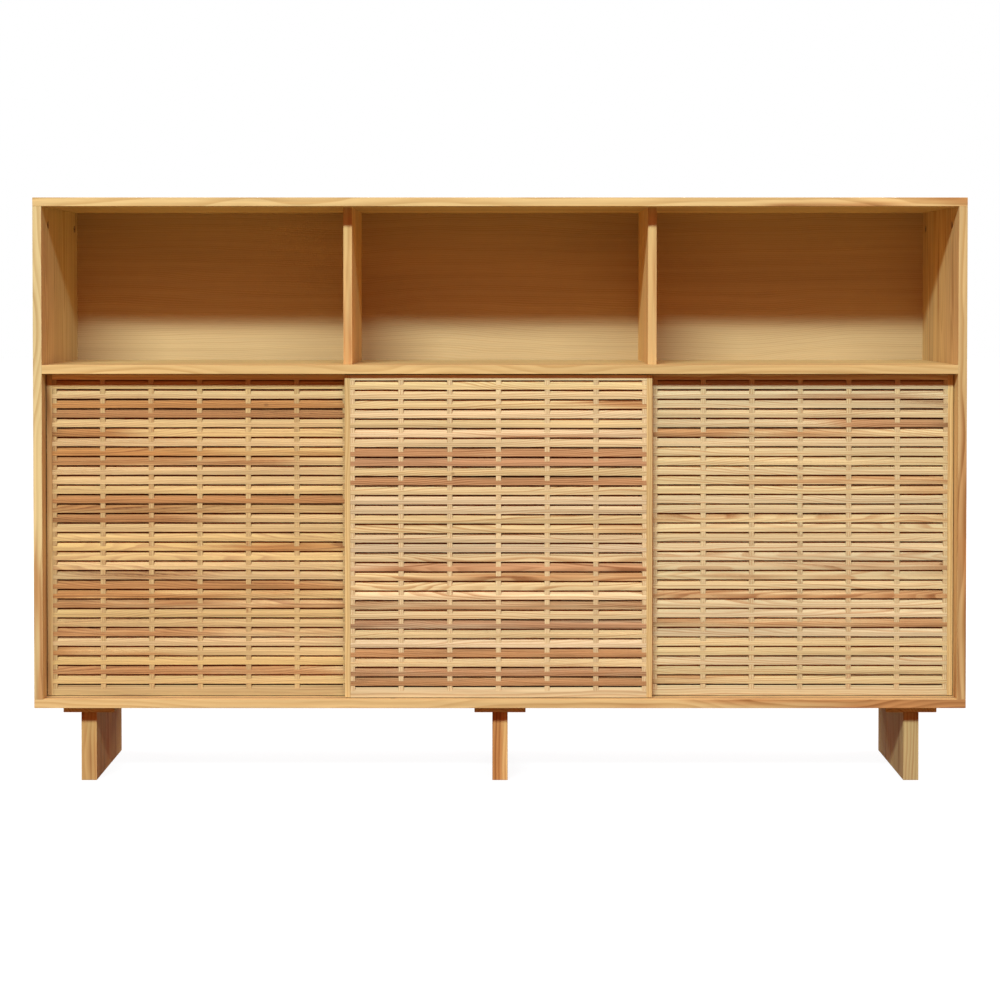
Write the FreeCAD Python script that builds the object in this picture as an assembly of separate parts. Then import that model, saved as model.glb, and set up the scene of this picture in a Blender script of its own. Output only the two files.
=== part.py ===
import FreeCAD, Part
import os

# A kitchen hutch in solid pine: three open bays over a cupboard with three sliding slatted doors, on
# three plank legs. Sizes are in millimetres. +Z is up, the front faces -Y, and the origin is on the
# floor under the middle of the carcass.

# Carcass boards
width = 1800.0
depth = 400.0
board = 17.0
bay_height = 306.0
cupboard_height = 629.0
edge_round = 1.0

# Back panels, held in grooves near the back edge
back_thickness = 6.0
back_inset = 11.0
groove_depth = 6.0
groove_slack = 0.3
panel_lap = 4.0

# Legs and the plates that carry them
leg_height = 150.0
leg_thickness = 30.0
leg_setback = 50.0
leg_inset = 97.0
plate_width = 100.0
plate_thickness = 17.0

# Sliding doors: how they sit in the opening
door_recess = 14.0
door_thickness = 20.0
door_gap = 4.5
door_overlap = 11.0
door_side_gap = 1.5
door_top_gap = 2.0
door_bottom_gap = 1.5
middle_door_offset = -3.0
partition_clearance = 2.0

# Door frame, slats and battens
stile_width = 11.0
top_rail_height = 10.5
tenon_length = 6.0
tenon_thickness = 8.0
tenon_shoulder = 2.5
tenon_slack = 0.4
slat_pitch = 18.5
slat_gap = 3.0
slat_depth = 10.0
slat_face = 8.0
bevel_depth = 5.0
batten_width = 10.0
end_batten_width = 8.5
batten_setback = 0.6
column_count = 6

# Tracks, rollers and top guides
track_width = 9.0
track_height = 6.0
track_wall = 1.3
track_floor = 1.5
roller_radius = 9.0
roller_width = 5.0
roller_side_gap = 0.5
roller_top_gap = 0.8
roller_float = 0.2
roller_inset = 70.0
trunnion_radius = 1.5
trunnion_slack = 0.06
housing_wall = 3.0
housing_end = 4.0
housing_roof = 1.5
housing_cover = 4.5
guide_radius = 2.8
guide_seat = 6.5
guide_reach = 3.5
guide_tip = 0.8

# Inner shelves and their pins
inner_shelf_height = 306.0
inner_shelf_setback = 12.0
inner_shelf_back_gap = 1.0
inner_shelf_side_gap = 1.5
pin_radius = 2.5
pin_seat = 8.0
pin_reach = 8.0
pin_collar_radius = 4.0
pin_collar = 0.8
pin_inset = 45.0
pin_row_pitch = 32.0
pin_rows = (-2, -1, 0, 1, 2)

# Cam locks, bolts and dowels
cam_radius = 7.5
cam_height = 12.0
cam_hole_depth = 13.0
cam_distance = 34.0
cam_slot_width = 2.0
cam_slot_depth = 3.0
bolt_thread_depth = 11.0
bolt_thread_radius = 3.2
bolt_shank_radius = 2.5
bolt_head_radius = 3.5
bolt_head_length = 3.0
bolt_hole_radius = 4.0
dowel_radius = 4.0
dowel_in_end = 19.0
dowel_in_face = 8.0
dowel_end_gap = 0.3
fit_slack = 0.1
fixing_front = 71.0
fixing_rear = 30.0
dowel_step = 40.0
divider_dowel_inset = 45.0
partition_dowel_inset = 70.0

# Screws
panel_screw_radius = 1.75
panel_screw_bite = 14.0
panel_screw_inset = 40.0
plate_screw_radius = 2.25
plate_screw_bite = 12.0
plate_screw_inset = 40.0
plate_screw_edge = 17.5
leg_screw_radius = 2.5
leg_screw_bite = 53.0
leg_screw_inset = 60.0
screw_slot_width = 0.8
screw_slot_depth = 1.0

# Levels from the floor up
carcass_bottom = leg_height
floor_top = carcass_bottom + board
shelf_under = floor_top + cupboard_height
shelf_top = shelf_under + board
ceiling = shelf_top + bay_height
top = ceiling + board

# Depths from front to back
front = -depth / 2
back = depth / 2
panel_rear = back - back_inset
panel_front = panel_rear - back_thickness
front_door_face = front + door_recess
rear_door_face = front_door_face + door_thickness + door_gap
partition_front = rear_door_face + door_thickness + partition_clearance
fixing_depths = (front + fixing_front, panel_front - fixing_rear)
dowel_depths = (fixing_depths[0] + dowel_step, fixing_depths[1] - dowel_step)

# Widths
inner_half = width / 2 - board
bay_width = (2 * inner_half - 2 * board) / 3
divider_centre = (bay_width + board) / 2
door_width = (2 * inner_half - 2 * door_side_gap + 2 * door_overlap) / 3

# Door heights and running gear
channel_depth = track_height - track_floor
channel_half = track_width / 2 - track_wall
door_bottom = floor_top + door_bottom_gap
door_top = shelf_under - door_top_gap
axle_height = floor_top - channel_depth + roller_float + roller_radius
housing_top = axle_height + roller_radius + roller_top_gap + housing_roof
housing_width = roller_width + 2 * roller_side_gap + 2 * housing_wall
housing_length = 2 * (roller_radius + roller_top_gap + housing_end)
bottom_rail_top = housing_top + housing_cover
top_rail_bottom = door_top - top_rail_height
slat_count = round((top_rail_bottom - bottom_rail_top - slat_gap) / slat_pitch)
slat_step = (top_rail_bottom - bottom_rail_top - slat_gap) / slat_count
slat_height = slat_step - slat_gap
bevel_height = slat_height - slat_face
slat_levels = [bottom_rail_top + slat_gap + row * slat_step for row in range(slat_count)]

ALONG_X = FreeCAD.Vector(1, 0, 0)
ALONG_Y = FreeCAD.Vector(0, 1, 0)
UP = FreeCAD.Vector(0, 0, 1)
DOWN = -UP
SIDES = (("left", -1), ("right", 1))

solids = {}
tools = {}


def point(x, y, z):
    """A point in the part's frame."""
    return FreeCAD.Vector(x, y, z)


def add(node, *shapes):
    """Puts solids into a node."""
    solids.setdefault(node, []).extend(shapes)


def take_out(node, *shapes):
    """Notes shapes to be cut out of a node."""
    tools.setdefault(node, []).extend(shapes)


def box(x0, x1, y0, y1, z0, z1):
    """A box between two opposite corners."""
    return Part.makeBox(x1 - x0, y1 - y0, z1 - z0, point(x0, y0, z0))


def rod(start, direction, length, radius):
    """A round bar from start along direction."""
    return Part.makeCylinder(radius, length, start, direction)


def prism(outline, x0, x1):
    """Carries an outline of (y, z) corners from x0 to x1."""
    corners = [point(x0, y, z) for y, z in outline]
    face = Part.Face(Part.makePolygon(corners + corners[:1]))
    return face.extrude(point(x1 - x0, 0, 0))


def placed(shape, at, facing, across):
    """A copy of a shape that was drawn along +Z, with its Z along facing and its X along across."""
    copy = shape.copy()
    turn = FreeCAD.Rotation(across, facing.cross(across), facing, "ZXY")
    copy.Placement = FreeCAD.Placement(at, turn)
    return copy


def eased(shape, along=None):
    """Rounds the edges that run along one axis, or all of them."""
    edges = shape.Edges
    if along:
        edges = [edge for edge in edges if abs(edge.tangentAt(edge.FirstParameter).dot(along)) > 0.9]
    return shape.makeFillet(edge_round, edges)


def cross_slots(radius, width_of_slot, depth_of_slot):
    """A cross recess that goes down from z = 0."""
    half = width_of_slot / 2
    one_way = box(-radius, radius, -half, half, -depth_of_slot, 0)
    other_way = box(-half, half, -radius, radius, -depth_of_slot, 0)
    return one_way.fuse(other_way)


def cam_lock():
    """A cam with its slotted face at z = 0 and its mouth for the bolt towards +X."""
    body = rod(point(0, 0, -cam_height), UP, cam_height, cam_radius)
    slots = cross_slots(cam_radius - 2 * cam_slot_width, cam_slot_width, cam_slot_depth)
    bolt_line = board / 2 - (cam_hole_depth - cam_height)
    start = point(-bolt_head_radius, 0, -bolt_line)
    return body.cut([slots, rod(start, ALONG_X, 2 * cam_radius, bolt_hole_radius)])


def cam_bolt():
    """A bolt whose thread goes down from z = 0 and whose shank and head go up into the cam."""
    thread = rod(point(0, 0, -bolt_thread_depth), UP, bolt_thread_depth, bolt_thread_radius)
    shank = rod(point(0, 0, 0), UP, cam_distance, bolt_shank_radius)
    head = rod(point(0, 0, cam_distance - bolt_head_length), UP, bolt_head_length, bolt_head_radius)
    return thread.fuse([shank, head])


def dowel():
    """A dowel that reaches down into a board's face and up into a panel's end."""
    return rod(point(0, 0, -dowel_in_face), UP, dowel_in_face + dowel_in_end, dowel_radius)


def screw(radius, length, slack=0.0):
    """A countersunk screw, tip down, with its head's face at z = 0, or its hole where slack is given."""
    shank = rod(point(0, 0, -length - slack), UP, length + slack, radius + slack)
    head = Part.makeCone(radius + slack, 2 * radius + slack, radius, point(0, 0, -radius), UP)
    body = shank.fuse(head)
    if slack:
        return body
    return body.cut(cross_slots(1.2 * radius, screw_slot_width, screw_slot_depth))


def shelf_pin():
    """A collared peg: the seat goes down from z = 0, and the free end stands up."""
    peg = rod(point(0, 0, -pin_seat), UP, pin_seat + pin_reach, pin_radius)
    return peg.fuse(rod(point(0, 0, 0), UP, pin_collar, pin_collar_radius))


def join_with_cam(panel, other, at, inward, mouth):
    """Draws a panel's end to a board: the bolt runs inward from at, and the cam's face looks to mouth."""
    centre = at + inward * cam_distance
    surface = centre + mouth * (board / 2)
    cam_face = surface - mouth * (cam_hole_depth - cam_height)
    add("cam_locks", placed(cam_lock(), cam_face, mouth, -inward))
    add("cam_bolts", placed(cam_bolt(), at, inward, mouth))
    take_out(panel, rod(surface, -mouth, cam_hole_depth, cam_radius + fit_slack))
    take_out(panel, rod(at, inward, cam_distance, bolt_hole_radius))
    take_out(other, rod(at, -inward, bolt_thread_depth, bolt_thread_radius + fit_slack))


def join_with_dowel(panel, other, at, inward, across):
    """Pins a panel's end to another board's face."""
    add("dowels", placed(dowel(), at, inward, across))
    hole = dowel_radius + fit_slack
    take_out(panel, rod(at, inward, dowel_in_end + dowel_end_gap, hole))
    take_out(other, rod(at, -inward, dowel_in_face + dowel_end_gap, hole))


def drive_screw(node, at, outward, across, radius, length, through):
    """Adds a screw whose head looks outward, and its hole in each board that it goes through."""
    add(node, placed(screw(radius, length), at, outward, across))
    for board_node in through:
        take_out(board_node, placed(screw(radius, length, fit_slack), at, outward, across))


def build_carcass():
    """Top, bottom, sides and fixed shelf, with their cams and dowels."""
    add("top_board", eased(box(-width / 2, width / 2, front, back, ceiling, top)))
    add("bottom_board", eased(box(-width / 2, width / 2, front, back, carcass_bottom, floor_top)))
    shelf = box(-inner_half, inner_half, front, panel_front, shelf_under, shelf_top)
    add("fixed_shelf", eased(shelf, ALONG_X))
    shelf_middle = shelf_under + board / 2
    for name, side in SIDES:
        panel = f"{name}_side_panel"
        outer = side * width / 2
        inner = side * inner_half
        inside = ALONG_X * -side
        middle = (outer + inner) / 2
        slab = box(min(outer, inner), max(outer, inner), front, back, floor_top, ceiling)
        add(panel, eased(slab, UP))
        for y in fixing_depths:
            join_with_cam(panel, "top_board", point(middle, y, ceiling), DOWN, inside)
            join_with_cam(panel, "bottom_board", point(middle, y, floor_top), UP, inside)
            join_with_cam("fixed_shelf", panel, point(inner, y, shelf_middle), inside, DOWN)
        for y in dowel_depths:
            join_with_dowel(panel, "top_board", point(middle, y, ceiling), DOWN, ALONG_X)
            join_with_dowel(panel, "bottom_board", point(middle, y, floor_top), UP, ALONG_X)
            join_with_dowel("fixed_shelf", panel, point(inner, y, shelf_middle), inside, ALONG_Y)


def build_dividers():
    """Bay dividers over the shelf and cupboard partitions under it, dowelled at both ends."""
    for name, side in SIDES:
        x = side * divider_centre
        divider = f"{name}_bay_divider"
        partition = f"{name}_partition"
        uprights = (
            (divider, shelf_top, ceiling, "fixed_shelf", "top_board", divider_dowel_inset),
            (partition, floor_top, shelf_under, "bottom_board", "fixed_shelf", partition_dowel_inset),
        )
        for node, low, high, below, above, inset in uprights:
            slab = box(x - board / 2, x + board / 2, partition_front, panel_front, low, high)
            add(node, eased(slab, UP))
            for y in (partition_front + inset, panel_front - inset):
                join_with_dowel(node, below, point(x, y, low), UP, ALONG_X)
                join_with_dowel(node, above, point(x, y, high), DOWN, ALONG_X)


def build_back():
    """Two thin panels in grooves, screwed to the shelf, the dividers and the partitions."""
    reach = groove_depth - groove_slack
    split = shelf_under + panel_lap
    half = inner_half + reach
    add("upper_back_panel", box(-half, half, panel_front, panel_rear, split, ceiling + reach))
    add("lower_back_panel", box(-half, half, panel_front, panel_rear, floor_top - reach, split))
    groove_half = inner_half + groove_depth
    groove_front = panel_front - groove_slack
    groove_rear = panel_rear + groove_slack
    for node, low in (("top_board", ceiling), ("bottom_board", floor_top - groove_depth)):
        groove = box(-groove_half, groove_half, groove_front, groove_rear, low, low + groove_depth)
        take_out(node, groove)
    for name, side in SIDES:
        inner = side * inner_half
        deep = side * groove_half
        groove = box(min(inner, deep), max(inner, deep), groove_front, groove_rear, floor_top, ceiling)
        take_out(f"{name}_side_panel", groove)
        x = side * divider_centre
        for z in screw_levels(shelf_top, ceiling):
            screw_back(x, z, "upper_back_panel", f"{name}_bay_divider")
        for z in screw_levels(floor_top, shelf_under):
            screw_back(x, z, "lower_back_panel", f"{name}_partition")
    for bay in (-1, 0, 1):
        screw_back(2 * bay * divider_centre, (split + shelf_top) / 2, "upper_back_panel", "fixed_shelf")


def screw_levels(low, high):
    """Heights of the three screws in an upright between low and high."""
    return low + panel_screw_inset, (low + high) / 2, high - panel_screw_inset


def screw_back(x, z, panel, upright):
    """One screw through a back panel into the board in front of it."""
    length = back_thickness + panel_screw_bite
    at = point(x, panel_rear, z)
    drive_screw("back_panel_screws", at, ALONG_Y, ALONG_X, panel_screw_radius, length, (panel, upright))


def build_legs():
    """Each leg is an upright plank under a flat plate, which is screwed to the bottom board."""
    plate_bottom = carcass_bottom - plate_thickness
    leg_front = front + leg_setback
    leg_back = back - leg_setback
    outer_leg = width / 2 - leg_inset
    plate_screw_length = plate_thickness + plate_screw_bite
    leg_screw_length = plate_thickness + leg_screw_bite
    for name, x in (("left", -outer_leg), ("centre", 0.0), ("right", outer_leg)):
        leg = f"{name}_leg"
        plate = f"{name}_leg_plate"
        half_leg = leg_thickness / 2
        half_plate = plate_width / 2
        plank = box(x - half_leg, x + half_leg, leg_front, leg_back, 0, plate_bottom)
        slab = box(x - half_plate, x + half_plate, leg_front, leg_back, plate_bottom, carcass_bottom)
        add(leg, eased(plank))
        add(plate, eased(slab))
        for y in (leg_front + plate_screw_inset, leg_back - plate_screw_inset):
            for step in (plate_screw_edge - half_plate, half_plate - plate_screw_edge):
                at = point(x + step, y, plate_bottom)
                through = (plate, "bottom_board")
                size = (plate_screw_radius, plate_screw_length)
                drive_screw("leg_plate_screws", at, DOWN, ALONG_X, *size, through)
        for y in (leg_front + leg_screw_inset, (leg_front + leg_back) / 2, leg_back - leg_screw_inset):
            at = point(x, y, carcass_bottom)
            drive_screw("leg_screws", at, UP, ALONG_X, leg_screw_radius, leg_screw_length, (plate, leg))


def build_inner_shelves():
    """A loose shelf in each cupboard, on four pins, with a column of spare pin holes at each corner."""
    shelf_low = floor_top + inner_shelf_height
    shelf_front = partition_front + inner_shelf_setback
    shelf_back = panel_front - inner_shelf_back_gap
    half = bay_width / 2 - inner_shelf_side_gap
    pin_height = shelf_low - pin_radius
    cupboards = (
        ("left", -2 * divider_centre, "left_side_panel", "left_partition"),
        ("centre", 0.0, "left_partition", "right_partition"),
        ("right", 2 * divider_centre, "right_partition", "right_side_panel"),
    )
    for name, x, left_wall, right_wall in cupboards:
        slab = box(x - half, x + half, shelf_front, shelf_back, shelf_low, shelf_low + board)
        add(f"{name}_inner_shelf", eased(slab, ALONG_X))
        for wall, side in ((left_wall, -1), (right_wall, 1)):
            face = x + side * bay_width / 2
            inside = ALONG_X * -side
            for y in (shelf_front + pin_inset, shelf_back - pin_inset):
                add("shelf_pins", placed(shelf_pin(), point(face, y, pin_height), inside, ALONG_Y))
                for row in pin_rows:
                    hole = point(face, y, pin_height + row * pin_row_pitch)
                    take_out(wall, rod(hole, -inside, pin_seat + fit_slack, pin_radius + fit_slack))


def track_outline(y, mouth, into):
    """A U channel's corners: its open side is at height mouth, and into says which way it is deep."""
    half = track_width / 2
    bed = mouth + into * channel_depth
    base = mouth + into * track_height
    near = y - channel_half
    far = y + channel_half
    outer = [(y - half, mouth), (y - half, base), (y + half, base), (y + half, mouth)]
    inner = [(far, mouth), (far, bed), (near, bed), (near, mouth)]
    return outer + inner


def build_tracks():
    """Two channels let into the bottom board and two into the underside of the shelf."""
    half = track_width / 2
    for face in (front_door_face, rear_door_face):
        y = face + door_thickness / 2
        add("lower_tracks", prism(track_outline(y, floor_top, -1), -inner_half, inner_half))
        add("upper_tracks", prism(track_outline(y, shelf_under, 1), -inner_half, inner_half))
        low = floor_top - track_height
        high = shelf_under + track_height
        take_out("bottom_board", box(-inner_half, inner_half, y - half, y + half, low, floor_top))
        take_out("fixed_shelf", box(-inner_half, inner_half, y - half, y + half, shelf_under, high))


def slat_outline(face, low):
    """A slat: a flat lower face, then a bevel that leans back to the top edge."""
    knee = low + slat_face
    high = low + slat_height
    rear = face + slat_depth
    return [(face, low), (face, knee), (face + bevel_depth, high), (rear, high), (rear, low)]


def batten_outline(face):
    """A comb: a spine behind the slats, and a tooth over each bevel, as far up as the next slat."""
    rear = face + door_thickness
    seat = face + slat_depth
    shelf = face + bevel_depth
    tooth = face + batten_setback
    bevel_at_tooth = bevel_height * (1 - batten_setback / bevel_depth)
    tops = [bottom_rail_top] + [low + slat_height for low in slat_levels]
    corners = [(rear, bottom_rail_top)]
    for row, high in enumerate(tops):
        if row:
            corners.append((seat, high))
        corners.append((shelf, high))
        corners.append((tooth, high - bevel_at_tooth))
        corners.append((tooth, high + slat_gap))
        if row < slat_count:
            corners.append((seat, high + slat_gap))
    corners.append((rear, top_rail_bottom))
    return corners


def rail_with_tenons(rail, left, right, y, low, high):
    """Adds a stub tenon at each end of a rail."""
    half = tenon_thickness / 2
    for x0, x1 in ((left - tenon_length, left), (right, right + tenon_length)):
        rail = rail.fuse(box(x0, x1, y - half, y + half, low, high))
    return rail.removeSplitter()


def mortise(x0, x1, y, low, high):
    """The pocket for one stub tenon."""
    half = tenon_thickness / 2
    return box(x0, x1, y - half, y + half, low, high)


def build_door(door, left, face):
    """One sliding door, from the x of its left edge and the y of its front face."""
    right = left + door_width
    rear = face + door_thickness
    middle = face + door_thickness / 2
    inner_left = left + stile_width
    inner_right = right - stile_width
    left_stile = f"{door}_left_stile"
    right_stile = f"{door}_right_stile"
    add(left_stile, eased(box(left, inner_left, face, rear, door_bottom, door_top), UP))
    add(right_stile, eased(box(inner_right, right, face, rear, door_bottom, door_top), UP))

    # The bottom rail has the slats' bevel along its top edge.
    knee = bottom_rail_top - bevel_height
    bottom_outline = [
        (face, door_bottom),
        (face, knee),
        (face + bevel_depth, bottom_rail_top),
        (rear, bottom_rail_top),
        (rear, door_bottom),
    ]
    bottom_rail = prism(bottom_outline, inner_left, inner_right)
    top_rail = box(inner_left, inner_right, face, rear, top_rail_bottom, door_top)
    rails = (
        ("bottom_rail", bottom_rail, door_bottom, knee),
        ("top_rail", top_rail, top_rail_bottom, door_top),
    )
    for name, rail, low, high in rails:
        tenon_low = low + tenon_shoulder
        tenon_high = high - tenon_shoulder
        rail = rail_with_tenons(rail, inner_left, inner_right, middle, tenon_low, tenon_high)
        add(f"{door}_{name}", rail)
        reach = tenon_length + tenon_slack
        take_out(left_stile, mortise(inner_left - reach, inner_left, middle, tenon_low, tenon_high))
        take_out(right_stile, mortise(inner_right, inner_right + reach, middle, tenon_low, tenon_high))

    for low in slat_levels:
        add(f"{door}_slats", prism(slat_outline(face, low), inner_left, inner_right))

    comb = batten_outline(face)
    battens_together = 2 * end_batten_width + (column_count - 1) * batten_width
    column = (inner_right - inner_left - battens_together) / column_count
    add(f"{door}_battens", prism(comb, inner_left, inner_left + end_batten_width))
    add(f"{door}_battens", prism(comb, inner_right - end_batten_width, inner_right))
    for number in range(1, column_count):
        start = inner_left + end_batten_width + number * column + (number - 1) * batten_width
        add(f"{door}_battens", prism(comb, start, start + batten_width))

    for name, x in (("left", left + roller_inset), ("right", right - roller_inset)):
        build_roller(door, name, x, middle)
        build_guide(door, x, middle)


def build_roller(door, name, x, y):
    """A roller on its trunnions, in a housing let into the bottom rail."""
    half_length = housing_length / 2
    half_width = housing_width / 2
    half_slot = roller_width / 2 + roller_side_gap
    slot_reach = roller_radius + roller_top_gap
    cheek = y - half_width
    block = box(x - half_length, x + half_length, cheek, cheek + housing_width, door_bottom, housing_top)
    take_out(f"{door}_bottom_rail", block.copy())
    slot_top = axle_height + slot_reach
    slot = box(x - slot_reach, x + slot_reach, y - half_slot, y + half_slot, door_bottom, slot_top)
    bore = rod(point(x, cheek, axle_height), ALONG_Y, housing_width, trunnion_radius + trunnion_slack)
    add(f"{door}_roller_housings", block.cut([slot, bore]))
    wheel = rod(point(x, y - roller_width / 2, axle_height), ALONG_Y, roller_width, roller_radius)
    half_axle = half_width - fit_slack
    axle = rod(point(x, y - half_axle, axle_height), ALONG_Y, 2 * half_axle, trunnion_radius)
    add(f"{door}_{name}_roller", wheel.fuse(axle))


def build_guide(door, x, y):
    """A peg in the top rail that runs in the upper track."""
    low = door_top - guide_seat
    shoulder = shelf_under + guide_reach - guide_tip
    peg = rod(point(x, y, low), UP, shoulder - low, guide_radius)
    tip = Part.makeCone(guide_radius, guide_radius - guide_tip, guide_tip, point(x, y, shoulder), UP)
    add(f"{door}_top_guides", peg.fuse(tip))
    take_out(f"{door}_top_rail", rod(point(x, y, low), UP, guide_seat, guide_radius + fit_slack))


def write_parts():
    """Cuts each node and writes it to its own file."""
    os.makedirs("parts", exist_ok=True)
    for node, shapes in solids.items():
        if node in tools:
            shapes = [piece for shape in shapes for piece in shape.cut(tools[node]).Solids]
        Part.makeCompound(shapes).exportStep(f"parts/{node}.step")


build_carcass()
build_dividers()
build_back()
build_legs()
build_inner_shelves()
build_tracks()
build_door("left_door", door_side_gap - inner_half, rear_door_face)
build_door("middle_door", middle_door_offset - door_width / 2, front_door_face)
build_door("right_door", inner_half - door_side_gap - door_width, rear_door_face)
write_parts()
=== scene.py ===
"""Dresses a pine sideboard with sliding slatted doors: grain, slats, battens, fittings, light, camera."""
import math

import bpy
import numpy as np
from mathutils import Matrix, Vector


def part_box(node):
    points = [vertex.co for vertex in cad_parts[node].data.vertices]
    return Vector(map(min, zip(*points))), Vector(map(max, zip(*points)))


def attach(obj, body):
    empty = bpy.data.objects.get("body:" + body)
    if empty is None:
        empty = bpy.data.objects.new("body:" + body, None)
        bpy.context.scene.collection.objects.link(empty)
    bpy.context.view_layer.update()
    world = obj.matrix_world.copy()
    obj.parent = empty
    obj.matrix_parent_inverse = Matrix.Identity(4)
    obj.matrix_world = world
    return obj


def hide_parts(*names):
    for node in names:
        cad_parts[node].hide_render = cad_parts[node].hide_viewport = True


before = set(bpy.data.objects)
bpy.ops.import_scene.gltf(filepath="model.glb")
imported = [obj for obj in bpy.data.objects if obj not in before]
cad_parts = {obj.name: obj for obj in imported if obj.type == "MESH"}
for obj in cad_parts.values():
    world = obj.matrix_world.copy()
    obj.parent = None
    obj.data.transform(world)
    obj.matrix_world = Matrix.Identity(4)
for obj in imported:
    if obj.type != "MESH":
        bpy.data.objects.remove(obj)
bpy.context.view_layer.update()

bl_info = {
    "name": "Slatted Sideboard",
    "version": (1, 0, 0),
    "blender": (4, 5, 0),
    "location": "3D View > Sidebar > Sideboard",
    "description": "Pine sideboard with three open bays and three sliding slatted doors",
    "category": "Object",
}

DOORS = ("left_door", "middle_door", "right_door")

# Seed of the first piece in each group. The groups lie apart, so that no two pieces share their grain.
CARCASS_SEED = 1.0
BACK_SEED = 31.0
LEG_SEED = 41.0
FRAME_SEED = 51.0
DOWEL_SEED = 95.0
SLAT_SEED = 200.0
BATTEN_SEED = 400.0

# Steps from the seeds of one door's slats or battens to those of the next door.
SLAT_SEED_STEP = 50
BATTEN_SEED_STEP = 20

# Seed of the draws for the left door's slats. The seeds of the other doors follow it.
SLAT_DRAWS = 100

# Nodes in one column of a drawn node tree, and the steps from column to column and from node to node.
COLUMN_NODES = 6
COLUMN_STEP = 220
NODE_STEP = 240

# Clouds per metre along the grain, across it and through the board, for each habit of the grain.
CLOUDS = {
    "wander": (2.4, 4.0, 4.0),
    "ripple": (7.0, 36.0, 36.0),
    "streak": (2.6, 120.0, 120.0),
    "fibre": (26.0, 900.0, 900.0),
    "drift": (1.7, 9.0, 9.0),
    "heart": (3.4, 40.0, 40.0),
    "smudge": (8.0, 70.0, 70.0),
    "knot": (6.0, 9.0, 9.0),
}

# Low and high ends of the smooth rises in the grain: the part of a ring where its late wood grows and where
# it ends, the heartwood share, the smudge cloud, the distances from a knot and from a glue line, and the draw
# that puts the pith before or behind the board.
RISES = {
    "late_wood": (0.2, 0.86),
    "ring_end": (0.88, 1.0),
    "heart": (0.36, 0.74),
    "deep_heart": (1.10, 1.45),
    "smudge": (0.54, 0.72),
    "knot": (0.014, 0.042),
    "glue": (0.0001, 0.0008),
    "pith_side": (0.49, 0.51),
}

# How much each habit of the grain lightens the wood, or darkens it where the number is below zero.
TONES = {
    "fibre": 0.45,
    "drift": 0.34,
    "stave": 0.22,
    "smudge": -0.16,
    "red_ring": -0.22,
    "deep_heart": -0.40,
    "glue": -0.34,
    "end": -0.2,
}

# Relief and roughness that rings, fibres and glue lines give the surface, and the roughness of plain wood.
RELIEF = {"ring": 0.55, "fibre": 0.6, "glue": -0.8}
ROUGHNESS = {"plain": 0.5, "ring": -0.1, "fibre": 0.16}
BUMP_STRENGTH = 0.7

# Drawn depth of the pith from the middle of the board, how far it is drawn to either side, and how far
# ripples push a ring, all in metres.
PITH_DEPTH = (0.018, 0.068)
PITH_SHIFT = 0.045
RIPPLE_PUSH = 0.007

# Least and most darkness of a ring, how strongly clouds stir the heartwood share, how far a draw moves the
# clouds from stave to stave, and the layer of noise from which a stave draws its numbers.
RING_DARKNESS = (0.35, 1.10)
HEART_STIR = 1.15
STAVE_SHIFT = (20.0, 20.0, 20.0)
DRAW_LAYER = 0.37

# Tints over the pale wood, and the colour of a pin knot.
WHITE = (1.0, 1.0, 1.0, 1.0)
GOLDEN = (1.03, 1.0, 0.80, 1.0)
SILVERY = (0.97, 1.0, 1.17, 1.0)
KNOT_COLOUR = (0.16, 0.065, 0.022, 1.0)

# Width of a stave that no piece reaches, for pieces that are not glued up from staves.
NO_STAVES = 10.0

# Low and high ends of the rise by which a face that turns towards an axis counts as an end or a long edge.
FACE_TURN = (0.6, 0.95)

# Part of the growth of the heartwood share that shows on a board's faces. Its long edges show all of it, so
# that the painted shade of the falloff shows in full on the front edges.
LEAN_ON_FACES = 0.15

# Wide clouds on a fitting, how strongly wide and fine clouds stir its tone and roughness, and its relief.
FITTING_CLOUDS = (60.0, 60.0, 60.0)
FITTING_TONES = {"wide": 0.5, "fine": 0.3}
FITTING_ROUGHNESS = {"wide": 0.18, "fine": 0.1}
FITTING_RELIEF = 0.00008

# Stations along a slat, points on each rounded corner of its outline, and the range of its waves.
SLAT_STATIONS = 25
CORNER_POINTS = 4
SLAT_WAVES = (1.0, 2.6)

# Width and segments of the battens' eased edges, and the least turn between two faces that gets one.
EASE_WIDTH = 0.0004
EASE_SEGMENTS = 2
EASE_ANGLE = math.radians(35.0)

# How strongly each door's slats drift between golden and silvery wood.
SLAT_GOLD = {"left_door": 0.7, "middle_door": 0.7, "right_door": 0.5}

# Range from which each door's plain slats draw their share of heartwood, and how much that share grows
# from a slat's middle to its right end. That growth is painted shade: it darkens the left door towards its
# left end and the right door towards its right end, where the light falls off.
PLAIN_ROWS = {
    "left_door": (0.02, 0.34, -0.14),
    "middle_door": (-0.10, 0.28, 0.0),
    "right_door": (-0.25, 0.34, 0.14),
}

# Brightness of each door's battens and their share of heartwood.
BATTENS = {"left_door": (0.93, 0.37), "middle_door": (1.02, 0.16), "right_door": (1.0, 0.33)}
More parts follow.
